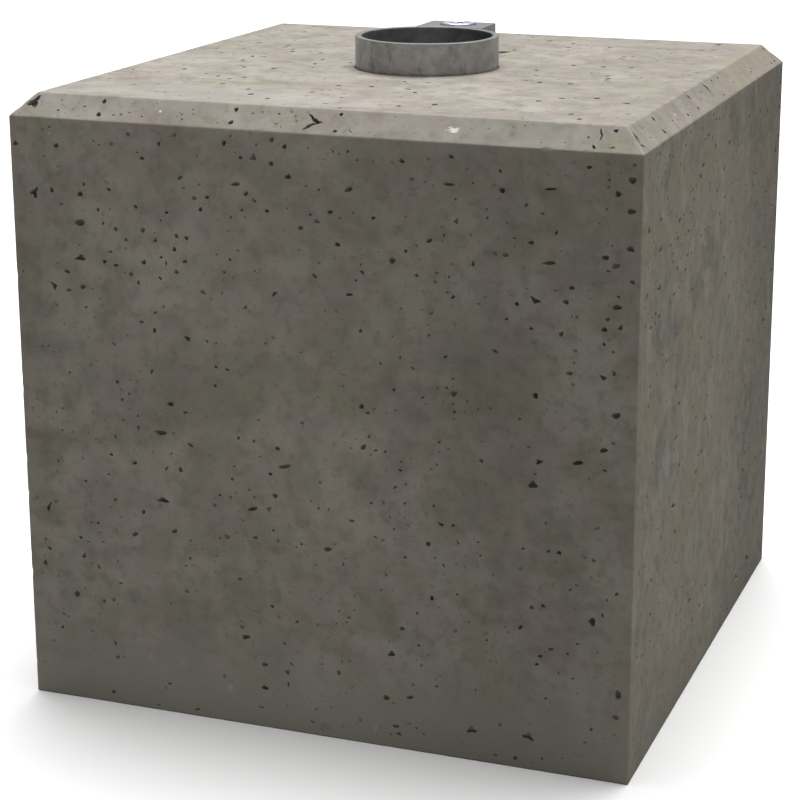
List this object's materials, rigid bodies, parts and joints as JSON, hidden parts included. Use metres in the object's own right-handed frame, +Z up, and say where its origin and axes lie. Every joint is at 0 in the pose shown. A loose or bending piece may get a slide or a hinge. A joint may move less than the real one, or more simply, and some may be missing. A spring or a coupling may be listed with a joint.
{
  "type": "sign post foundation block",
  "caption": "Precast concrete block with chamfered top edges and a cast-in steel sleeve, which holds a round sign post with a socket-head clamp screw in a lug behind it.",
  "frame": {"origin": "middle of the block's underside", "axes": "+Z up along the sleeve, +Y towards the clamp lug, +X to the right seen from the plain front"},
  "size_m": [0.3, 0.3, 0.3128],
  "materials": {
    "concrete": "cast concrete as struck from the mould, grey-brown, mottled, full of small dark air pores",
    "galvanised_steel": "hot-dip galvanised, dull grey with darker vertical streaks",
    "zinc_plated_steel": "bright zinc plated, slightly blue"
  },
  "bodies": {
    "root": {"concrete_block": "concrete", "post_sleeve": "galvanised_steel", "clamp_lug": "galvanised_steel", "clamp_screw": "zinc_plated_steel"}
  },
  "joints": []
}
